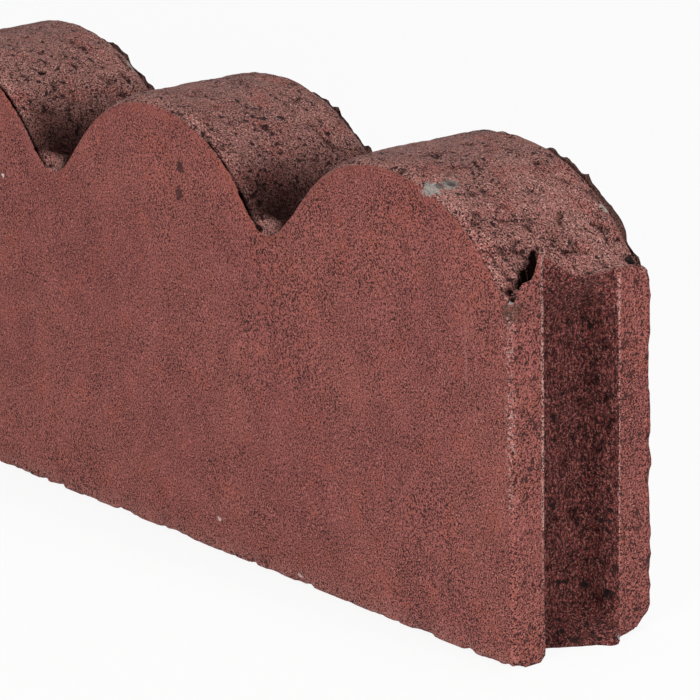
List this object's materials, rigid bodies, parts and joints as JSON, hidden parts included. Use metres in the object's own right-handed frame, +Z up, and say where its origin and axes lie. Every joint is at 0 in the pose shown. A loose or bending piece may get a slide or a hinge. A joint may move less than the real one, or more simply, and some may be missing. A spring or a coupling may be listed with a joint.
{
  "type": "rope top edging stone",
  "caption": "Upright slab of red concrete with a scalloped rope top, a groove in one end and a matching tongue on the other, for edging lawns, beds and paths.",
  "frame": {"origin": "middle of the bounding box, tongue included, on the level that the stone stands on", "axes": "+X along the stone towards its grooved end, +Y through the thickness away from the front, +Z up"},
  "size_m": [0.613, 0.057, 0.15],
  "materials": {
    "red_concrete": "semi-dry pressed concrete, pigmented red through its mass, dull, with open pores"
  },
  "bodies": {
    "root": {"edging_stone": "red_concrete"}
  },
  "joints": []
}
